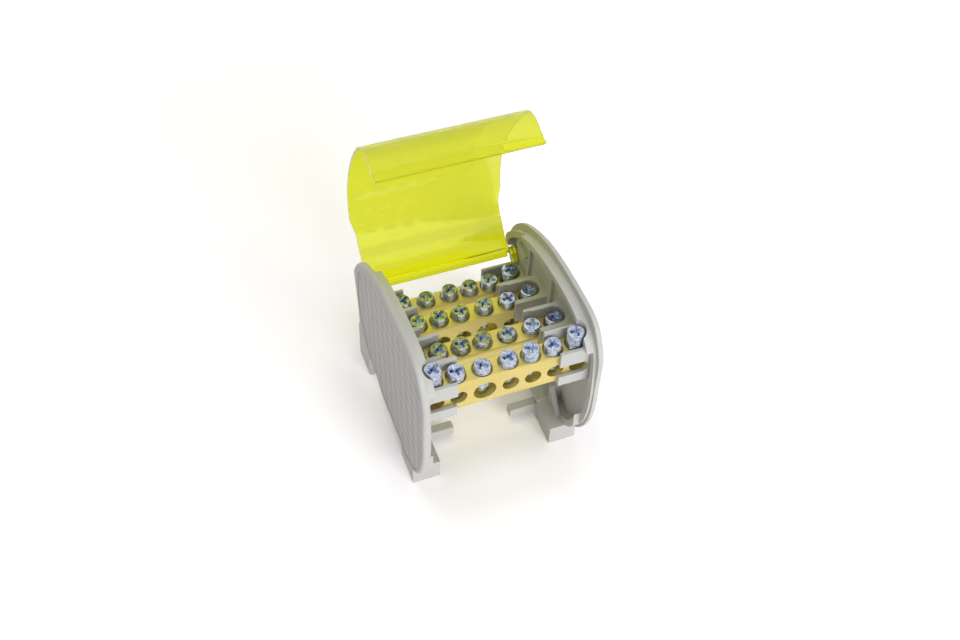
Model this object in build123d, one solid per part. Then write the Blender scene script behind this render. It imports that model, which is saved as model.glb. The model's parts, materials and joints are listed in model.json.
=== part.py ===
from build123d import *
from math import atan2, cos, radians, sin
import os

# Power distribution block: four brass bars stepped down towards the back between
# two grey moulded cheeks, twenty-eight clamping screws, a hinged clear yellow lid
# and two sliding catches for a 35 mm rail.
# X runs across the block, Y from front to back, Z up from the mounting face.
# Sizes in millimetres. Y below is counted from a working zero; Y_MID moves every
# piece so that the origin lies under the middle of the whole block.
Y_MID = 11.76
PAST = 1.0           # how far a cut runs past the face it opens

# cheeks
OUTER_X = 30.0       # outside face of a cheek
WALL_X = 28.0        # inside face of its wall
LEDGE_X = 24.8       # inner end of the ledge that carries the closed lid
LEDGE_REAR_X = 26.4  # its inner end beside the neck of the lid
LEDGE_LOW_X = 27.0   # its inner end down the front, below the lid
LEDGE_LOW_Z = 57.0
RIM_T = 2.4          # thickness of that ledge
EDGE_R = 1.3         # rounding of the outside edge
FIELD_IN = 2.9       # plain border round the grained field
FIELD_DEEP = 0.25
FIELD_MARGIN = 0.3   # flat strip between the rounding and the grained field
RIB_IN = 1.1         # how far the stiffening ribs stand in from the wall
RIB_T = 1.1
RIBS = [(4.9, 38.0, 62.0), (23.2, 30.0, 57.0)]   # front face, foot and top of each
STEP = (25.7, 33.0, 44.8, 46.0)                  # short bar under the hinge
STEP_IN = 1.6

# rail
RAIL_W = 35.0
RAIL_T = 1.0
RAIL_Z = 7.5         # seat height, the depth of the rail
RAIL_LIP = 4.0       # width of the rail's flange
RAIL_Y0 = -7.4       # front edge of the seat
RAIL_Y1 = RAIL_Y0 + RAIL_W
RAIL_GAP = 0.2
HOOK_IN = 1.3        # how far a claw reaches under the rail
CLAW_Z = 2.6         # underside of the fixed claw

# feet
FOOT_X0, FOOT_X1 = 20.0, 29.6
FOOT_L = 12.4        # length of the front foot
FOOT_Z = 8.4
SHELF_L = 13.0       # length of the shelf over the rail
SHELF_T = 1.3
TONGUE_X = 10.5
TONGUE_IN = 0.5     # from either edge of the rail's flange
TONGUE_ROOT = 2.0
GUSSET = (24.0, 1.6, 9.0)   # inside face, thickness, height
REAR_X0 = 18.6
REAR_GAP = 1.2       # from the rail's edge to the rear foot
REAR_L = 11.6
REAR_Z = 16.0

# catches
CATCH_X0, CATCH_X1 = 20.4, 26.8
CATCH_Z0, CATCH_Z1 = 1.4, 6.3
CATCH_GAP = 0.1
CATCH_L = 17.2
CATCH_SLOPE = 1.2
EYE = (1.2, 1.8, 1.6)   # side wall, length and end wall of the eye for a screwdriver

# bars: front face, depth, top
BARS = [(-25.0, 7.0, 55.7), (-9.8, 8.0, 47.5), (10.6, 8.0, 38.3), (27.5, 7.0, 29.6)]
BAR_H = 12.6
BAR_X = 27.8
BAR_EDGE = 0.35
BORE_DOWN = 6.9      # wire hole centre below the bar top
SMALL_R = 2.75
BIG_R = 3.75
PITCH = 7.5
WIDE_PITCH = 8.6     # beside the big hole
BIG_X = 7.5
SINK = 0.5           # countersink round each tapped hole

# screws
SCREW_R = 2.85
SCREW_L = 11.6
SCREW_FIT = 0.05
SCREW_EDGE = 0.45
TIP_R = 1.9
TIP_L = 2.4
TIP_EDGE = 0.3
TIP_CONE = 0.85
RECESS_R = 2.15      # reach of the cross recess at the top
RECESS_FOOT_R = 0.75
RECESS_T = 1.15
RECESS_DEEP = 2.2
TURNS = (37, 53)     # degrees that spread the crosses from row to row and along a row
HEADS = [
    [6.3, 2.7, 2.0, 2.7, 3.6, 2.8, 5.9],
    [3.0, 2.7, 2.9, 2.7, 2.2, 2.7, 3.7],
    [3.0, 2.9, 2.8, 2.7, 3.0, 2.7, 4.3],
    [3.1, 4.1, 2.8, 3.6, 3.2, 3.6, 5.9],
]

# sockets
SOCKET_GAP = 0.1
ARM_X = 17.0         # inner end of the front wall
ARM_REAR_X = 14.6    # inner end of the rear wall
ARM_FRONT = 1.2
ARM_REAR = 1.0
ARM_FLOOR = 1.0
ARM_TOPS = [(1.7, 3.8), (4.4, 4.4), (4.6, 4.6), (4.4, 4.4)]
NOTCH_R = 3.7
SCREW_CLEAR = 0.4    # round the first bar's last screw, in the ledge
SLOT_R = 2.5
SLOT_X = 27.0        # outer end of the wire slot

# lid
HINGE = (35.2, 36.0)
CLOSING = 67.0
LID_T = 1.0
LID_X = 27.4
NECK_X = 26.0
NECK_REACH = 21.0    # radius about the hinge inside which the lid is narrow
TAPER_REACH = 26.0   # radius where it has its full width
RELIEF_GAP = 0.4
BEAD = (34.55, 38.56)   # with the lid shut
BEAD_R = 1.6
BEAD_X = 24.4
EAR_X0, EAR_X1 = 25.75, 27.6
EAR_R = 1.7
PIN_R = 1.4
PIN_FIT = 0.06
PIN_X = 28.8
POCKET_X = 29.0
RECESS = (38.4, 41.6, 3.2)   # round recess above the hinge pocket
LIP_R = 0.5

LID_CLOSED = [
    BEAD, (35.3, 40.6), (35.4, 42.4), (34.8, 45.1), (33.2, 47.9), (31.7, 51.6),
    (29.5, 54.8), (22.9, 61.2), (18.9, 63.4), (14.7, 65.0), (8.8, 66.3), (2.4, 66.9),
    (-4.5, 66.9), (-11.3, 66.3), (-18.4, 65.1), (-24.4, 63.3), (-28.4, 60.6),
    (-30.4, 57.4), (-30.9, 54.4), (-30.9, 52.4), (-31.0, 50.5), (-31.4, 48.3),
]
LIP_RIBS = [(-31.3, 51.5), (-31.8, 48.7)]

# cheek outline, top arc from back to front, then the front edge down
ARC = [
    (42.4, 42.6), (38.4, 49.4), (32.7, 55.2), (22.9, 60.9), (14.9, 64.0), (7.0, 65.8),
    (-1.1, 66.7), (-8.9, 67.1), (-16.6, 67.1), (-21.6, 66.4), (-25.2, 64.6),
]
FRONT = [
    (-25.2, 64.6), (-28.6, 60.0), (-30.7, 54.6), (-31.0, 48.0), (-30.9, 40.0),
    (-31.0, 32.0), (-30.0, 24.0), (-27.4, 16.6), (-22.6, 9.6), (-16.8, 5.2),
]
BELLY = (12.0, 21.0)     # where the lower edge leaves the rail and levels out
BELLY_Z = 12.2
HEEL = (11.2, 15.0)      # rear lower corner, behind the rail and above the face
BACK = [(11.6, 26.0), (13.0, 34.0)]      # rear edge above it, behind the rail
BOTTOM = [
    FRONT[-1], (-9.8, 5.2), (RAIL_Y0, RAIL_Z), (BELLY[0], RAIL_Z), (BELLY[1], BELLY_Z),
    (RAIL_Y1, BELLY_Z), (RAIL_Y1 + HEEL[0], HEEL[1]),
]
REAR = [BOTTOM[-1], *((RAIL_Y1 + y, z) for y, z in BACK), ARC[0]]

LEDGE = [
    (42.6, 37.6), (42.4, 41.4), (40.2, 44.6), (36.9, 48.2), (33.4, 51.4), (30.4, 53.6),
    (26.4, 56.2), (22.0, 58.4), (16.5, 60.6), (10.9, 62.1), (3.6, 63.5), (-3.3, 64.3),
    (-10.1, 64.6), (-14.4, 64.3), (-18.8, 63.3), (-23.0, 61.7), (-26.4, 59.4),
    (-28.3, 56.6), (-29.3, 53.0), (-29.8, 49.0), (-30.2, 44.0), (-30.4, 38.0),
    (-30.2, 31.0), (-29.2, 24.4), (-26.8, 17.6), (-22.4, 11.2), (-18.6, 8.6),
]


def box(x0, x1, y0, y1, z0, z1):
    centre = Pos((x0 + x1) / 2, (y0 + y1) / 2, (z0 + z1) / 2)
    return centre * Box(x1 - x0, y1 - y0, z1 - z0)


def prism(face, x0, x1):
    return extrude(Plane.YZ.offset(x0) * face, amount=x1 - x0)


def rod_x(radius, x0, x1, y, z):
    return Pos((x0 + x1) / 2, y, z) * Rot(0, 90, 0) * Cylinder(radius, x1 - x0)


def rod_y(radius, x, y0, y1, z):
    return Pos(x, (y0 + y1) / 2, z) * Rot(90, 0, 0) * Cylinder(radius, y1 - y0)


def shifted(points, by):
    """Points moved square to the curve through them, to its left for by > 0."""
    moved = []
    for i, (y, z) in enumerate(points):
        a = points[max(i - 1, 0)]
        b = points[min(i + 1, len(points) - 1)]
        along = atan2(b[1] - a[1], b[0] - a[0])
        moved.append((y - by * sin(along), z + by * cos(along)))
    return moved


def strip(points, left, right):
    """A band of even thickness along a curve."""
    one = shifted(points, left)
    two = shifted(points, -right)
    return make_face([
        Spline(*one), Line(one[-1], two[-1]), Spline(*two), Line(two[0], one[0]),
    ])


def turned(points, degrees):
    c, s = cos(radians(degrees)), sin(radians(degrees))
    out = []
    for y, z in points:
        dy, dz = y - HINGE[0], z - HINGE[1]
        out.append((HINGE[0] + c * dy - s * dz, HINGE[1] + s * dy + c * dz))
    return out


def hole_places(row):
    """Seven places along a bar; rows one and four have the big hole on the left."""
    side = -1 if row in (0, 3) else 1
    first = BIG_X - WIDE_PITCH
    places = [BIG_X, first, first - PITCH, first - 2 * PITCH, first - 3 * PITCH]
    places += [BIG_X + WIDE_PITCH, BIG_X + WIDE_PITCH + PITCH]
    return sorted(side * x for x in places)


def hole_radius(x):
    return BIG_R if abs(abs(x) - BIG_X) < 0.01 else SMALL_R


def bar(row):
    y0, depth, top = BARS[row]
    y = y0 + depth / 2
    body = box(-BAR_X, BAR_X, y0, y0 + depth, top - BAR_H, top)
    body = chamfer(body.edges().filter_by(Axis.X), BAR_EDGE)
    mouth = SCREW_R + SCREW_FIT
    for x in hole_places(row):
        body -= rod_y(hole_radius(x), x, y0 - PAST, y0 + depth + PAST, top - BORE_DOWN)
        body -= Pos(x, y, top - BORE_DOWN / 2) * Cylinder(mouth, BORE_DOWN)
        body -= Pos(x, y, top - SINK / 2) * Cone(mouth, mouth + SINK, SINK)
    return body


def recess_wing():
    """One bar of the cross recess, its ends sloping in towards the foot."""
    slope = make_face(Polyline(
        (-RECESS_R, 0), (RECESS_R, 0), (RECESS_FOOT_R, -RECESS_DEEP),
        (-RECESS_FOOT_R, -RECESS_DEEP), close=True))
    return extrude(Plane.YZ.offset(-RECESS_T / 2) * slope, amount=RECESS_T)


def screw(row, number):
    y0, depth, top = BARS[row]
    x = hole_places(row)[number]
    head = top + HEADS[row][number]
    low = head - SCREW_L
    shoulder = low + TIP_L
    half = [
        (0, low), (TIP_R - TIP_EDGE, low), (TIP_R, low + TIP_EDGE), (TIP_R, shoulder),
        (SCREW_R, shoulder + TIP_CONE), (SCREW_R, head - SCREW_EDGE),
        (SCREW_R - SCREW_EDGE, head), (0, head),
    ]
    body = revolve(Plane.XZ * make_face(Polyline(*half, close=True)), Axis.Z)
    turn = (TURNS[0] * (row + 1) + TURNS[1] * number) % 90
    for angle in (turn, turn + 90):
        body -= Pos(0, 0, head) * Rot(0, 0, angle) * recess_wing()
    return Pos(x, y0 + depth / 2, 0) * body


def cheek_outline():
    return make_face([
        Spline(*ARC), Spline(*FRONT), Polyline(*BOTTOM), Spline(*REAR),
    ])


def wire_slot(row):
    """Slot through a socket's front wall, open towards the middle of the block."""
    y0, depth, top = BARS[row]
    bore = top - BORE_DOWN
    front, middle = y0 - SOCKET_GAP - ARM_FRONT - PAST, y0 + depth / 2
    end = SLOT_X - SLOT_R
    slot = box(ARM_X - PAST, end, front, middle, bore - SLOT_R, bore + SLOT_R)
    return slot + rod_y(SLOT_R, end, front, middle, bore)


def socket(row):
    """Sleeve round one bar end, with a notch over the last screw."""
    y0, depth, top = BARS[row]
    front, rear = y0 - SOCKET_GAP, y0 + depth + SOCKET_GAP
    low = top - BAR_H - SOCKET_GAP
    foot_z = low - ARM_FLOOR
    high_front, high_rear = ARM_TOPS[row]
    middle = y0 + depth / 2
    back = rear + ARM_REAR
    sleeve = box(ARM_X, WALL_X, front - ARM_FRONT, middle, foot_z, top + high_front)
    sleeve += box(ARM_X, WALL_X, middle, back, foot_z, top + high_rear)
    sleeve -= box(ARM_X - PAST, WALL_X, front, rear, low, top + SOCKET_GAP)
    sleeve += box(ARM_REAR_X, ARM_X, rear, back, foot_z, top + high_rear)
    last = hole_places(row)[-1]
    over = max(high_front, high_rear) + PAST
    notch = Pos(last, middle, top + over / 2) * Cylinder(NOTCH_R, over)
    notch += box(ARM_X - PAST, last, middle - NOTCH_R, middle + NOTCH_R, top, top + over)
    bore = top - BORE_DOWN
    sleeve -= notch + wire_slot(row)
    return sleeve - rod_y(SMALL_R, last, middle, back + PAST, bore)


def foot():
    """Front foot, its claw under the rail, the shelf over it and the tongue under its flange."""
    back = RAIL_Y0 - RAIL_GAP
    front = back - FOOT_L
    under = RAIL_Z - RAIL_T - RAIL_GAP
    shelf_z = RAIL_Z + RAIL_GAP
    block = box(FOOT_X0, FOOT_X1, front, back, 0, FOOT_Z)
    block += box(FOOT_X0, WALL_X, back, back + HOOK_IN, CLAW_Z, under)
    block += box(FOOT_X0, WALL_X, back, back + SHELF_L, shelf_z, shelf_z + SHELF_T)
    tongue = RAIL_Y0 + TONGUE_IN
    flange = RAIL_Y0 + RAIL_LIP - TONGUE_IN
    block += box(TONGUE_X, FOOT_X0 + TONGUE_ROOT, tongue, flange, CLAW_Z, under)
    inside, thick, high = GUSSET
    gusset = make_face(Polyline(
        (front + high / 2, FOOT_Z), (back, FOOT_Z), (back, FOOT_Z + high), close=True))
    block += prism(gusset, inside, inside + thick)
    return block + box(inside, WALL_X, back - thick, back, FOOT_Z, FOOT_Z + high)


def catch_guide():
    """Rear foot, a tunnel for the sliding catch."""
    y0 = RAIL_Y1 + REAR_GAP
    block = box(REAR_X0, FOOT_X1, y0, y0 + REAR_L, 0, REAR_Z)
    return block - box(
        CATCH_X0 - CATCH_GAP, CATCH_X1 + CATCH_GAP, y0 - PAST, y0 + REAR_L + PAST,
        CATCH_Z0 - CATCH_GAP, CATCH_Z1 + CATCH_GAP)


def pivot():
    """Pocket that takes the hinge pin, and the round recess above it."""
    pocket = rod_x(PIN_R + PIN_FIT, WALL_X - PAST, POCKET_X, *HINGE)
    y, z, radius = RECESS
    return pocket + rod_x(radius, WALL_X - PAST, POCKET_X, y, z)


def field():
    """Grained panel of the outside face, a shade lower than its border."""
    margin = EDGE_R + FIELD_MARGIN
    top = shifted(ARC, FIELD_IN)[1:-1]
    front = shifted(FRONT, margin)[1:-1]
    back = shifted(REAR, FIELD_IN)[1:-1]
    low = shifted(BOTTOM, margin)[1:-1]
    face = make_face([
        Spline(*top), Line(top[-1], front[0]), Spline(*front),
        Polyline(front[-1], *low, back[0]), Line(back[0], back[-1]),
        Line(back[-1], top[0]),
    ])
    return prism(face, OUTER_X - FIELD_DEEP, OUTER_X + PAST)


def ledge():
    """Arched ledge, narrower beside the lid's neck and down the front."""
    rim = prism(strip(LEDGE, RIM_T, 0), LEDGE_X, WALL_X + PAST / 2)
    y0, depth, top = BARS[0]
    last = hole_places(0)[-1]
    rim -= Pos(last, y0 + depth / 2, top + SCREW_L) * Cylinder(SCREW_R + SCREW_CLEAR, 2 * SCREW_L)
    rim -= rod_x(NECK_REACH + RELIEF_GAP, LEDGE_X - PAST, LEDGE_REAR_X, *HINGE)
    front, back = FRONT[3][0] - PAST, y0 - ARM_FRONT - SOCKET_GAP
    return rim - box(LEDGE_X - PAST, LEDGE_LOW_X, front, back, 0, LEDGE_LOW_Z)


def cheek():
    plate = prism(cheek_outline(), WALL_X, OUTER_X)
    outside = plate.edges().group_by(Axis.X)[-1]
    plate = fillet(outside, EDGE_R) - field()
    body = plate + ledge()
    for row in range(4):
        body += socket(row)
    body += foot() + catch_guide()
    for y, z0, z1 in RIBS:
        body += box(WALL_X - RIB_IN, WALL_X, y, y + RIB_T, z0, z1)
    body += box(WALL_X - STEP_IN, WALL_X, *STEP)
    return body - pivot()


def neck_cut():
    """What the lid loses at its right edge near the hinge."""
    end = LID_X + PAST
    beyond = NECK_REACH + (TAPER_REACH - NECK_REACH) * (end - NECK_X) / (LID_X - NECK_X)
    cone = Rot(0, 90, 0) * Cone(NECK_REACH, beyond, end - NECK_X)
    return Pos((NECK_X + end) / 2, *HINGE) * cone


def lid():
    """Thin bent sheet, drawn shut and turned back to its open rest."""
    points = turned(LID_CLOSED, -CLOSING)
    bead = turned([BEAD], -CLOSING)[0]
    sheet = prism(strip(points, LID_T / 2, LID_T / 2), -LID_X, LID_X)
    cut = neck_cut()
    sheet -= cut + mirror(cut, about=Plane.YZ)
    for y_rib, z_rib in turned(LIP_RIBS, -CLOSING):
        sheet += rod_x(LIP_R, -LID_X, LID_X, y_rib, z_rib)
    sheet += rod_x(BEAD_R, -BEAD_X, BEAD_X, *bead)
    ear = rod_x(BEAD_R, EAR_X0, EAR_X1, *bead) + rod_x(EAR_R, EAR_X0, EAR_X1, *HINGE)
    ear += rod_x(PIN_R, EAR_X0, PIN_X, *HINGE)
    return sheet + ear + mirror(ear, about=Plane.YZ)


def catch():
    """Sliding rail catch: a claw, a shank in the rear foot and an eye to pull it by."""
    top = RAIL_Z - RAIL_T - RAIL_GAP
    nose_y = RAIL_Y1 - HOOK_IN
    start = RAIL_Y1 + RAIL_GAP
    end = start + CATCH_L
    body = box(CATCH_X0, CATCH_X1, start, end, CATCH_Z0, CATCH_Z1)
    nose = make_face(Polyline(
        (nose_y, top), (start + RAIL_GAP, top), (start + RAIL_GAP, CATCH_Z0),
        (nose_y + CATCH_SLOPE, CATCH_Z0), (nose_y, (CATCH_Z0 + top) / 2), close=True))
    body += prism(nose, CATCH_X0, CATCH_X1)
    side, length, wall = EYE
    return body - box(
        CATCH_X0 + side, CATCH_X1 - side, end - wall - length, end - wall,
        CATCH_Z0 - PAST, CATCH_Z1 + PAST)


def save(name, shape):
    export_step(Pos(0, -Y_MID, 0) * shape, f"parts/{name}.step")


os.makedirs("parts", exist_ok=True)
right = cheek()
save("right_cheek", right)
save("left_cheek", mirror(right, about=Plane.YZ))
save("lid", lid())
slide = catch()
save("right_catch", slide)
save("left_catch", mirror(slide, about=Plane.YZ))
for row in range(4):
    save(f"busbar_{row + 1}", bar(row))
    for number in range(7):
        save(f"screw_{row + 1}_{number + 1}", screw(row, number))
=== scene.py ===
import json
import math
import bpy
from mathutils import Matrix, Vector
from mathutils.bvhtree import BVHTree

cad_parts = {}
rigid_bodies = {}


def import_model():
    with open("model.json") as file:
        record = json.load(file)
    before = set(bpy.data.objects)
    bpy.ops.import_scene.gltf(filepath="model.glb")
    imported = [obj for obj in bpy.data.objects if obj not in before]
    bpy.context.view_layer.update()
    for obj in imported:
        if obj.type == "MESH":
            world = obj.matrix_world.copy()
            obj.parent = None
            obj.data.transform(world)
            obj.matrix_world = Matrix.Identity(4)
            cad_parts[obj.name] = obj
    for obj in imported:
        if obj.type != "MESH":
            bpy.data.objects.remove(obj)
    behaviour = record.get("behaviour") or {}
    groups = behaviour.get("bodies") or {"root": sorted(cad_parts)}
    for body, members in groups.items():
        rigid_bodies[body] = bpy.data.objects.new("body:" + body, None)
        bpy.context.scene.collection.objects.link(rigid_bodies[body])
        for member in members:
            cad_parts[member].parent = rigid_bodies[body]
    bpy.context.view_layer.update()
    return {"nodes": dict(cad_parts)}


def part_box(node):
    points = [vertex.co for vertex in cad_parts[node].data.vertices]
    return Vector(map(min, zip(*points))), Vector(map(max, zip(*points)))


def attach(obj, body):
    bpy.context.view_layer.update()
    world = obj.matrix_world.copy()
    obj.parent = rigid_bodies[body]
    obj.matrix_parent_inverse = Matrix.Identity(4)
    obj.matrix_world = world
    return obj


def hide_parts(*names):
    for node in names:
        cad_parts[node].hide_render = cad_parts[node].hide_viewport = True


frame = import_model()
nodes = frame["nodes"]

# Lengths in metres, angles in degrees. X runs across the block, Y to the back, Z up.
MM = 0.001

# camera
CAMERA_AT = (-0.1008, -0.2491, 0.3574)
CAMERA_TURN = 23.03    # from straight along +Y towards +X
CAMERA_DOWN = 49.85
CAMERA_ROLL = 3.15
CAMERA_LENS = 46.6
SENSOR = 36.0

# colours, linear
WHITE = (1.0, 1.0, 1.0, 1.0)
HOUSING = (0.56, 0.56, 0.535, 1.0)
# outside face of the cheeks: darker, warmer tone painted in as shade; OUTSIDE_PAINTED_SHADE is the
# painted shade of the outer strip
GRAIN_PAINTED_SHADE = (0.53, 0.50, 0.48, 1.0)
# painted shade in the dimples of the grain
GRAIN_DIMPLE_PAINTED_SHADE = (0.37, 0.345, 0.335, 1.0)
BRASS = (0.80, 0.69, 0.265, 1.0)
BRASS_DARK = (0.72, 0.58, 0.19, 1.0)
# zinc: ZINC and its darker tone are mixed in patches, painted mottled reflections
ZINC = (0.60, 0.64, 0.73, 1.0)
ZINC_PAINTED_DARK_REFLECTION = (0.32, 0.38, 0.52, 1.0)
# cross recess of a screw: a lit and a shaded copy of the zinc, painted glints and painted shade
RECESS_PAINTED_GLINT = (0.78, 0.84, 0.95, 1.0)
RECESS_PAINTED_SHADE = (0.30, 0.37, 0.55, 1.0)
OUTSIDE_PAINTED_SHADE = (0.46, 0.435, 0.42, 1.0)
YELLOW = (0.77, 0.79, 0.058, 1.0)
YELLOW_DEEP = (0.79, 0.80, 0.008, 1.0)
YELLOW_CLEAR = (0.66, 0.68, 0.25, 1.0)
FLOOR = (0.85, 0.84, 0.845, 1.0)
FLOOR_SEEN = (1.26, 1.24, 1.25, 1.0)     # to the camera and in gloss: open floor is just white

# light
WORLD_FILL = 0.42
FLOOR_HALF = 3.0
LAMPS_AIM = (0, 0, 0.04)
LAMPS = {   # place, side of the square, watts, whether gloss mirrors it
    "front_softbox": ((0.6, -2.5, 0.85), 1.8, 52.0, False),
    "top_softbox": ((0.0, 0.15, 2.6), 1.6, 18.0, False),
    "glint_box": ((-0.5, 0.6, 2.2), 0.7, 2.0, True),
}

# surfaces: waves of noise a metre, ranges of roughness, strength and depth of the relief
MOST = (0.3, 0.7)            # most of a noise lies between these
HALF_WAY = (0.0, 0.5)
MOULD_CLOUDS = 60
MOULD_SHADE = 0.93           # how much darker the plastic's clouds are
MOULD_GRIT = 4200
MOULD_ROUGH = (0.42, 0.56)
MOULD_RELIEF = (0.25, 0.04 * MM)
OUTSIDE_SHADE_BLEND = 0.5 * MM     # how far in from the outside face its painted shade runs out
DRAWN_STREAKS = 900
DRAWN_STRETCH = (0.05, 1, 1)
DRAWN_CLOUDS = 70
STREAK_RANGE = (0.35, 0.7)
STAIN_RANGE = (0.4, 0.8)
BRASS_ROUGH = (0.42, 0.58)
BRASS_RELIEF = (0.3, 0.03 * MM)
# PLATE_RANGE spreads the painted mottled reflections of the zinc
PLATE_CLOUDS = 700
PLATE_RANGE = (0.42, 0.62)
PLATE_ROUGH = (0.12, 0.26)
PLATE_RELIEF = (0.5, 0.06 * MM)

# lid, and where it is thicker, in its own coordinates
LID_ROUGH = 0.04
LID_CLEAR = 0.75
LID_GLOSS = 0.18
BEAD_TOP = 41.2 * MM
LIP_BACK = 11.6 * MM
THICK_BLEND = 0.8 * MM

# screws
THREAD_PITCH = 0.9 * MM
THREAD_DEPTH = 0.28 * MM
THREAD_FLANK = 1.35    # pitch over the width of its groove
HEAD_RIM = 0.35 * MM
TIP_R = 1.9 * MM
TIP_L = 2.4 * MM
RECESS_R = 2.1 * MM
RECESS_FOOT_R = 0.75 * MM
RECESS_T = 1.25 * MM
RECESS_FOOT_T = 0.45 * MM
RECESS_DEEP = 2.0 * MM
RECESS_LIFT = 0.5 * MM       # how far its cutter stands out of the head
RECESS_SKIN = 0.02 * MM      # faces this far below the head belong to it
FOOT_SKIN = 0.1 * MM
AROUND = 40
THREAD_ROWS = 8        # rows of faces along one pitch
TURNS = (37, 53)       # degrees that spread the crosses from row to row and along a row

# grained panel of a cheek
GRAIN_STEP = 0.3 * MM
GRAIN_HIGH = 0.21 * MM
GRAIN_LIFT = 0.02 * MM
GRAIN_ALONG = (5.92 * MM, 0.66 * MM)     # from one dimple to the next, in Y and Z
GRAIN_DOWN = (-0.40 * MM, -5.69 * MM)
GRAIN_FADE = 1.0 * MM
FIELD_DEEP = 0.25 * MM       # the field lies this far in from the outside face
FIELD_NEAR = 0.02 * MM
FIELD_FLAT = 0.99
RAY_START = 10 * MM


def new_material(name):
    material = bpy.data.materials.new(name)
    material.use_nodes = True
    tree = material.node_tree
    tree.nodes.clear()
    return material, tree


def add(tree, kind, **values):
    """One node. A value is set on the input socket of that name, or on the node."""
    node = tree.nodes.new(kind)
    for key, value in values.items():
        socket = key.replace("_", " ")
        if socket in node.inputs:
            node.inputs[socket].default_value = value
        else:
            setattr(node, key, value)
    return node


def mix_colour(tree, factor, one, two):
    node = tree.nodes.new("ShaderNodeMix")
    node.data_type = "RGBA"
    tree.links.new(factor, node.inputs[0])
    for socket, value in ((node.inputs[6], one), (node.inputs[7], two)):
        if hasattr(value, "is_output"):
            tree.links.new(value, socket)
        else:
            socket.default_value = value
    return node.outputs[2]


def spread(tree, value, low, high, to_low, to_high):
    node = tree.nodes.new("ShaderNodeMapRange")
    tree.links.new(value, node.inputs["Value"])
    node.inputs["From Min"].default_value = low
    node.inputs["From Max"].default_value = high
    node.inputs["To Min"].default_value = to_low
    node.inputs["To Max"].default_value = to_high
    return node.outputs["Result"]


def noise(tree, scale, stretch=(1, 1, 1), detail=3.0, rough=0.5):
    """Noise in the object's own coordinates, scale in waves a metre."""
    place = tree.nodes.new("ShaderNodeTexCoord")
    mapping = tree.nodes.new("ShaderNodeMapping")
    mapping.inputs["Scale"].default_value = stretch
    node = add(tree, "ShaderNodeTexNoise", Scale=scale, Detail=detail, Roughness=rough)
    tree.links.new(place.outputs["Object"], mapping.inputs["Vector"])
    tree.links.new(mapping.outputs["Vector"], node.inputs["Vector"])
    return node.outputs["Fac"]


def bump(tree, height, strength, distance):
    node = add(tree, "ShaderNodeBump", Strength=strength, Distance=distance)
    tree.links.new(height, node.inputs["Height"])
    return node.outputs["Normal"]


def output(tree, shader):
    node = tree.nodes.new("ShaderNodeOutputMaterial")
    tree.links.new(shader, node.inputs["Surface"])


def lattice(tree):
    """1 at the dimples of the grain, 0 half way between them; it places the painted shade in the
    dimples.
    """
    place = tree.nodes.new("ShaderNodeTexCoord")
    total = None
    for y, z in lattice_rates():
        rate = add(tree, "ShaderNodeVectorMath", operation="DOT_PRODUCT")
        tree.links.new(place.outputs["Object"], rate.inputs[0])
        rate.inputs[1].default_value = (0, 2 * math.pi * y, 2 * math.pi * z)
        wave = add(tree, "ShaderNodeMath", operation="COSINE")
        tree.links.new(rate.outputs["Value"], wave.inputs[0])
        if total is None:
            total = wave.outputs[0]
        else:
            both = add(tree, "ShaderNodeMath", operation="ADD")
            tree.links.new(total, both.inputs[0])
            tree.links.new(wave.outputs[0], both.inputs[1])
            total = both.outputs[0]
    return spread(tree, total, -2.0, 2.0, 0.0, 1.0)


def outside(tree):
    """1 on the outside face of either cheek, 0 further in: where the painted shade lies."""
    place = tree.nodes.new("ShaderNodeTexCoord")
    parts = tree.nodes.new("ShaderNodeSeparateXYZ")
    away = add(tree, "ShaderNodeMath", operation="ABSOLUTE")
    tree.links.new(place.outputs["Object"], parts.inputs[0])
    tree.links.new(parts.outputs["X"], away.inputs[0])
    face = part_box("right_cheek")[1].x
    return spread(tree, away.outputs[0], face - OUTSIDE_SHADE_BLEND, face, 0.0, 1.0)


def moulded(name, colour, dimple=None):
    """Grey moulded plastic: soft gloss, faint flow variation, fine spark texture, and painted
    shade: darker on the cheeks' outside face, or in the dimples of the grain.
    """
    material, tree = new_material(name)
    shader = add(tree, "ShaderNodeBsdfPrincipled", IOR=1.5)
    cloud = noise(tree, MOULD_CLOUDS, detail=4.0)
    darker = tuple(MOULD_SHADE * c for c in colour[:3]) + (1.0,)
    tone = mix_colour(tree, cloud, colour, darker)
    # painted shade: darker in the dimples of the grain, or on the cheeks' outside face
    if dimple:
        tone = mix_colour(tree, lattice(tree), tone, dimple)
    else:
        tone = mix_colour(tree, outside(tree), tone, OUTSIDE_PAINTED_SHADE)
    tree.links.new(tone, shader.inputs["Base Color"])
    grit = noise(tree, MOULD_GRIT, detail=2.0)
    tree.links.new(spread(tree, grit, *MOST, *MOULD_ROUGH), shader.inputs["Roughness"])
    tree.links.new(bump(tree, grit, *MOULD_RELIEF), shader.inputs["Normal"])
    output(tree, shader.outputs["BSDF"])
    return material


def brass():
    """Drawn brass: streaks along X and a soft sheen."""
    material, tree = new_material("drawn_brass")
    shader = add(tree, "ShaderNodeBsdfPrincipled", Metallic=1.0)
    streak = noise(tree, DRAWN_STREAKS, stretch=DRAWN_STRETCH, detail=4.0, rough=0.6)
    cloud = noise(tree, DRAWN_CLOUDS, detail=3.0)
    mixed = mix_colour(tree, spread(tree, streak, *STREAK_RANGE, *HALF_WAY), BRASS, BRASS_DARK)
    stain = spread(tree, cloud, *STAIN_RANGE, *HALF_WAY)
    tone = mix_colour(tree, stain, mixed, BRASS_DARK)
    tree.links.new(tone, shader.inputs["Base Color"])
    tree.links.new(spread(tree, streak, *MOST, *BRASS_ROUGH), shader.inputs["Roughness"])
    tree.links.new(bump(tree, streak, *BRASS_RELIEF), shader.inputs["Normal"])
    output(tree, shader.outputs["BSDF"])
    return material


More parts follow.
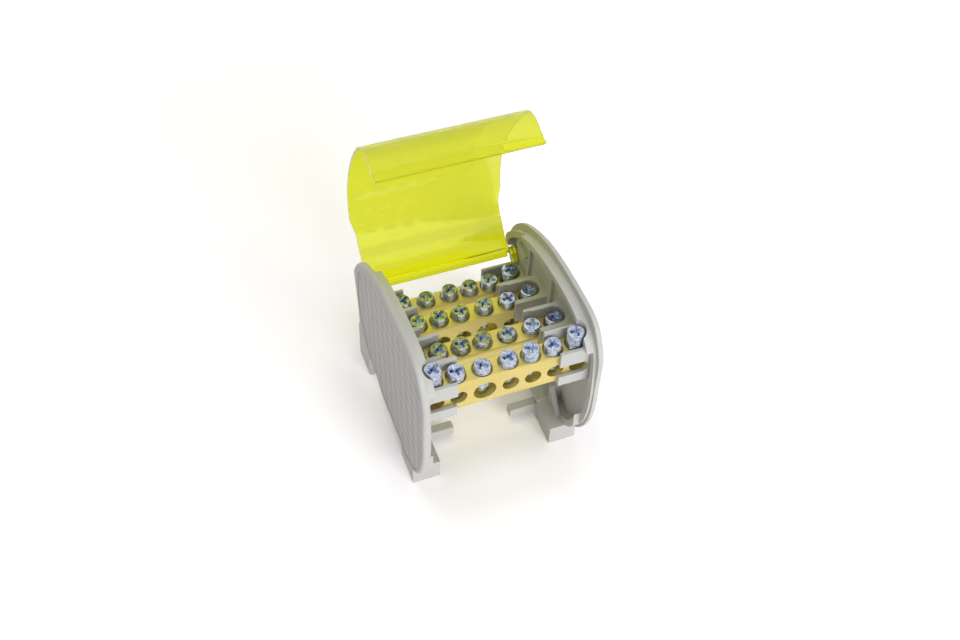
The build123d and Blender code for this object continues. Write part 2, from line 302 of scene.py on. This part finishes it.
def zinc(name, light, dark):
    """Blue zinc plate on steel, with small pits, and painted mottled reflections: light and dark
    patches painted into its colour.
    """
    material, tree = new_material(name)
    shader = add(tree, "ShaderNodeBsdfPrincipled", Metallic=1.0)
    cloud = noise(tree, PLATE_CLOUDS, detail=3.0, rough=0.6)
    # painted reflections: light and dark patches mixed into the colour
    tone = mix_colour(tree, spread(tree, cloud, *PLATE_RANGE, 0.0, 1.0), light, dark)
    tree.links.new(tone, shader.inputs["Base Color"])
    tree.links.new(spread(tree, cloud, *MOST, *PLATE_ROUGH), shader.inputs["Roughness"])
    tree.links.new(bump(tree, cloud, *PLATE_RELIEF), shader.inputs["Normal"])
    output(tree, shader.outputs["BSDF"])
    return material


def clear_yellow():
    """See-through fluorescent sheet that lets lamp light through, tinted."""
    material, tree = new_material("clear_yellow")
    sheet = add(tree, "ShaderNodeBsdfPrincipled", IOR=1.49, Roughness=LID_ROUGH)
    place = tree.nodes.new("ShaderNodeTexCoord")
    parts = tree.nodes.new("ShaderNodeSeparateXYZ")
    tree.links.new(place.outputs["Object"], parts.inputs[0])
    bead = spread(tree, parts.outputs["Z"], BEAD_TOP, BEAD_TOP - THICK_BLEND, 0.0, 1.0)
    lip = spread(tree, parts.outputs["Y"], LIP_BACK, LIP_BACK - THICK_BLEND, 0.0, 1.0)
    thick = add(tree, "ShaderNodeMath", operation="MAXIMUM")
    tree.links.new(bead, thick.inputs[0])
    tree.links.new(lip, thick.inputs[1])
    tone = mix_colour(tree, thick.outputs[0], YELLOW, YELLOW_DEEP)
    tree.links.new(tone, sheet.inputs["Base Color"])
    sheet.inputs["Transmission Weight"].default_value = LID_CLEAR
    sheet.inputs["Specular IOR Level"].default_value = LID_GLOSS
    through = add(tree, "ShaderNodeBsdfTransparent", Color=YELLOW_CLEAR)
    share = seen_share(tree, "Shadow")
    output(tree, mix_shaders(tree, share, sheet.outputs["BSDF"], through.outputs["BSDF"]))
    return material


def paint(material, *names):
    for name in names:
        if not nodes[name].material_slots:
            nodes[name].data.materials.append(material)
        for slot in nodes[name].material_slots:
            slot.material = material


def piece_of(name, vertices, faces, materials):
    mesh = bpy.data.meshes.new(name)
    mesh.from_pydata(vertices, [], faces)
    mesh.update()
    piece = bpy.data.objects.new(name, mesh)
    bpy.context.scene.collection.objects.link(piece)
    for material in materials:
        mesh.materials.append(material)
    return piece


def thread_profile(radius, low, high, angle):
    """Radius and height up one side of a screw, at an angle round it."""
    shoulder = low + TIP_L
    start, end = shoulder + (radius - TIP_R), high - HEAD_RIM
    points = [
        (TIP_R - HEAD_RIM, low), (TIP_R, low + HEAD_RIM), (TIP_R, shoulder), (radius, start),
    ]
    rows = round((end - start) / THREAD_PITCH * THREAD_ROWS)
    for row in range(1, rows):
        z = start + (end - start) * row / rows
        phase = ((z - start) / THREAD_PITCH - angle / (2 * math.pi)) % 1
        fade = min(1, (z - start) / THREAD_PITCH, (end - z) / (0.5 * THREAD_PITCH))
        cut = max(0, 1 - abs(2 * phase - 1) * THREAD_FLANK)
        points.append((radius - THREAD_DEPTH * cut * fade, z))
    points += [(radius, end), (radius - HEAD_RIM, high)]
    return points


def screw_body(radius, low, high):
    """Closed threaded body with a flat head, before the recess is cut."""
    vertices, faces = [], []
    for step in range(AROUND):
        angle = 2 * math.pi * step / AROUND
        for r, z in thread_profile(radius, low, high, angle):
            vertices.append((r * math.cos(angle), r * math.sin(angle), z))
    rows = len(vertices) // AROUND
    for step in range(AROUND):
        this, following = step * rows, (step + 1) % AROUND * rows
        for row in range(rows - 1):
            faces.append((this + row, following + row, following + row + 1, this + row + 1))
    faces.append(tuple(step * rows for step in reversed(range(AROUND))))
    faces.append(tuple(step * rows + rows - 1 for step in range(AROUND)))
    return vertices, faces


def recess_wing(high):
    """Closed wedge of one bar of the cross, all its walls sloping in."""
    grow = (RECESS_R - RECESS_FOOT_R) / RECESS_DEEP * RECESS_LIFT
    widen = (RECESS_T - RECESS_FOOT_T) / 2 / RECESS_DEEP * RECESS_LIFT
    top, foot = high + RECESS_LIFT, high - RECESS_DEEP
    long, wide = RECESS_R + grow, RECESS_T / 2 + widen
    profile = [
        (wide, long, top), (RECESS_FOOT_T / 2, RECESS_FOOT_R, foot),
        (RECESS_FOOT_T / 2, -RECESS_FOOT_R, foot), (wide, -long, top),
    ]
    vertices = [(side * x, y, z) for side in (-1, 1) for x, y, z in profile]
    faces = [(0, 1, 2, 3), (7, 6, 5, 4)]
    faces += [(i, i + 4, (i + 1) % 4 + 4, (i + 1) % 4) for i in range(4)]
    return vertices, faces


def screw_mesh(name, plate, recess_glint_and_shade):
    """A screw with its thread, dog point and cross recess, its head at height 0."""
    low_corner, high_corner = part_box(name)
    radius = (high_corner.x - low_corner.x) / 2
    length = high_corner.z - low_corner.z
    body = piece_of("screw_body", *screw_body(radius, -length, 0.0), [plate, recess_glint_and_shade])
    for turn in (0, math.pi / 2):
        wing = piece_of("screw_wing", *recess_wing(0.0), [recess_glint_and_shade])
        wing.rotation_euler = (0, 0, turn)
        cut = body.modifiers.new("recess", "BOOLEAN")
        cut.operation = "DIFFERENCE"
        cut.solver = "EXACT"
        cut.object = wing
    bpy.context.view_layer.update()
    shape = bpy.data.meshes.new_from_object(
        body.evaluated_get(bpy.context.evaluated_depsgraph_get()))
    for piece in [o for o in bpy.data.objects if o.name.startswith(("screw_body", "screw_wing"))]:
        bpy.data.objects.remove(piece)
    shape.materials.clear()
    shape.materials.append(plate)
    shape.materials.append(recess_glint_and_shade)
    # faces in the cross recess take the copy with painted glints and painted shade
    for face in shape.polygons:
        middle = face.center
        inside = -RECESS_DEEP - FOOT_SKIN < middle.z < -RECESS_SKIN
        inside = inside and math.hypot(middle.x, middle.y) < RECESS_R
        face.material_index = 1 if inside else 0
    return shape


def threaded_screws(names):
    """Every screw node is shown by a threaded one in the same place."""
    plate = zinc("zinc_plate_painted_reflections", ZINC, ZINC_PAINTED_DARK_REFLECTION)
    # the recess gets a lit and shaded copy of the zinc: painted glints and painted shade
    recess_glint_and_shade = zinc("zinc_recess_painted_glint_and_shade", RECESS_PAINTED_GLINT, RECESS_PAINTED_SHADE)
    shape = screw_mesh(names[0], plate, recess_glint_and_shade)
    for name in names:
        low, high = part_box(name)
        row, number = (int(part) for part in name.split("_")[1:])
        piece = bpy.data.objects.new("threaded_" + name, shape)
        bpy.context.scene.collection.objects.link(piece)
        piece.location = ((low.x + high.x) / 2, (low.y + high.y) / 2, high.z)
        turn = (TURNS[0] * row + TURNS[1] * (number - 1)) % 90
        piece.rotation_euler = (0, 0, math.radians(turn))
        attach(piece, name)
        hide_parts(name)


def seen_share(tree, *kinds):
    """1 for rays of any of these kinds, otherwise 0."""
    ray = tree.nodes.new("ShaderNodeLightPath")
    total = ray.outputs[f"Is {kinds[0]} Ray"]
    for kind in kinds[1:]:
        either = add(tree, "ShaderNodeMath", operation="MAXIMUM")
        tree.links.new(total, either.inputs[0])
        tree.links.new(ray.outputs[f"Is {kind} Ray"], either.inputs[1])
        total = either.outputs[0]
    return total


def mix_shaders(tree, share, one, two):
    both = tree.nodes.new("ShaderNodeMixShader")
    tree.links.new(share, both.inputs["Fac"])
    tree.links.new(one, both.inputs[1])
    tree.links.new(two, both.inputs[2])
    return both.outputs["Shader"]


def floor():
    """White where it is open and darker in shadow, and plain white through the lid."""
    half = FLOOR_HALF
    corners = [(-half, -half, 0), (half, -half, 0), (half, half, 0), (-half, half, 0)]
    material, tree = new_material("pale_floor")
    plain = tree.nodes.new("ShaderNodeBsdfDiffuse")
    tone = mix_colour(tree, seen_share(tree, "Camera", "Glossy"), FLOOR, FLOOR_SEEN)
    tree.links.new(tone, plain.inputs["Color"])
    glow = add(tree, "ShaderNodeEmission", Color=WHITE, Strength=1.0)
    share = seen_share(tree, "Transmission")
    output(tree, mix_shaders(tree, share, plain.outputs["BSDF"], glow.outputs["Emission"]))
    piece_of("floor", corners, [(0, 1, 2, 3)], [material])


def world():
    scene_world = bpy.data.worlds.new("studio")
    bpy.context.scene.world = scene_world
    scene_world.use_nodes = True
    tree = scene_world.node_tree
    tree.nodes.clear()
    fill = add(tree, "ShaderNodeBackground", Color=WHITE, Strength=WORLD_FILL)
    white = add(tree, "ShaderNodeBackground", Color=WHITE, Strength=1.0)
    share = seen_share(tree, "Camera", "Glossy", "Transmission")
    both = mix_shaders(tree, share, fill.outputs["Background"], white.outputs["Background"])
    end = tree.nodes.new("ShaderNodeOutputWorld")
    tree.links.new(both, end.inputs["Surface"])


def lamp(name, at, size, watts, mirrored):
    """Square area lamp that looks at the middle of the block."""
    light = bpy.data.lights.new(name, "AREA")
    light.shape = "SQUARE"
    light.size = size
    light.energy = watts
    piece = bpy.data.objects.new(name, light)
    bpy.context.scene.collection.objects.link(piece)
    piece.location = at
    way = Vector(LAMPS_AIM) - Vector(at)
    piece.rotation_euler = way.to_track_quat("-Z", "Y").to_euler()
    piece.visible_glossy = mirrored


def camera():
    turn, down, roll = (math.radians(v) for v in (CAMERA_TURN, CAMERA_DOWN, CAMERA_ROLL))
    ahead = Vector((
        math.cos(down) * math.sin(turn), math.cos(down) * math.cos(turn), -math.sin(down)))
    level = Vector((math.cos(turn), -math.sin(turn), 0))
    upright = level.cross(ahead)
    right = level * math.cos(roll) + upright * math.sin(roll)
    up = upright * math.cos(roll) - level * math.sin(roll)
    lens = bpy.data.cameras.new("camera")
    lens.lens = CAMERA_LENS
    lens.sensor_width = SENSOR
    piece = bpy.data.objects.new("camera", lens)
    bpy.context.scene.collection.objects.link(piece)
    turned = Matrix((right, up, -ahead)).transposed()
    piece.matrix_world = Matrix.Translation(Vector(CAMERA_AT)) @ turned.to_4x4()
    bpy.context.scene.camera = piece


def lattice_rates():
    """Dimples a metre in Y and in Z, along each of the lattice's two directions."""
    ay, az = GRAIN_ALONG
    dy, dz = GRAIN_DOWN
    size = ay * dz - az * dy
    return (dz / size, -dy / size), (-az / size, ay / size)


def grain_height(y, z):
    """Egg-crate relief: a dimple at each point of a slightly turned square lattice."""
    wave = sum(math.cos(2 * math.pi * (y * u + z * v)) for u, v in lattice_rates())
    return GRAIN_HIGH * (2 - wave) / 4


def grain_panel(name, side, material):
    """Grained panel laid on the sunk field of a cheek's outside face."""
    mesh = nodes[name].data
    tree = BVHTree.FromPolygons([v.co for v in mesh.vertices], [p.vertices for p in mesh.polygons])
    low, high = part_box(name)
    face_x = side * max(abs(low.x), abs(high.x))
    floor_x = face_x - side * FIELD_DEEP
    start_x = face_x + side * RAY_START
    rows = int((high.z - low.z) / GRAIN_STEP)
    columns = int((high.y - low.y) / GRAIN_STEP)

    def on_field(y, z):
        hit, normal, _, _ = tree.ray_cast(Vector((start_x, y, z)), Vector((-side, 0, 0)))
        if hit is None:
            return False
        return abs(hit.x - floor_x) < FIELD_NEAR and abs(normal.x) > FIELD_FLAT

    inside = {}
    for j in range(rows + 1):
        for i in range(columns + 1):
            y, z = low.y + i * GRAIN_STEP, low.z + j * GRAIN_STEP
            if on_field(y, z):
                inside[i, j] = (y, z)
    depth = edge_distance(inside)
    index, vertices = {}, []
    for key, (y, z) in inside.items():
        index[key] = len(vertices)
        fade = min(1.0, depth[key] * GRAIN_STEP / GRAIN_FADE)
        vertices.append((floor_x + side * (GRAIN_LIFT + fade * grain_height(y, z)), y, z))
    faces = []
    for i, j in inside:
        around = [(i, j), (i + 1, j), (i + 1, j + 1), (i, j + 1)]
        if all(key in index for key in around):
            loop = [index[key] for key in around]
            faces.append(loop if side > 0 else loop[::-1])
    panel = piece_of(name + "_grain", vertices, faces, [material])
    for face in panel.data.polygons:
        face.use_smooth = True
    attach(panel, "base")


def edge_distance(inside):
    """Steps from each grid point to the field's edge, counted outwards in."""
    depth = {}
    ring = [key for key in inside if any(
        (key[0] + i, key[1] + j) not in inside for i, j in ((1, 0), (-1, 0), (0, 1), (0, -1)))]
    level = 0
    while ring:
        for key in ring:
            depth[key] = level
        following = []
        for i, j in ring:
            for key in ((i + 1, j), (i - 1, j), (i, j + 1), (i, j - 1)):
                if key in inside and key not in depth:
                    depth[key] = level + 1
                    following.append(key)
        ring = following
        level += 1
    return depth


def main():
    bars = [name for name in nodes if name.startswith("busbar")]
    screws = sorted(name for name in nodes if name.startswith("screw"))
    grey = moulded("grey_housing_painted_outside_shade", HOUSING)
    paint(grey, "left_cheek", "right_cheek", "left_catch", "right_catch")
    paint(brass(), *bars)
    paint(clear_yellow(), "lid")
    threaded_screws(screws)
    # grained panels carry painted shade: the outside face darker, its dimples darker still
    grained_painted_shade = moulded("grained_housing_painted_shade", GRAIN_PAINTED_SHADE, dimple=GRAIN_DIMPLE_PAINTED_SHADE)
    grain_panel("left_cheek", -1, grained_painted_shade)
    grain_panel("right_cheek", 1, grained_painted_shade)
    floor()
    world()
    for name, (at, size, watts, mirrored) in LAMPS.items():
        lamp(name, at, size, watts, mirrored)
    camera()
    bpy.context.scene.view_settings.view_transform = "Standard"


main()
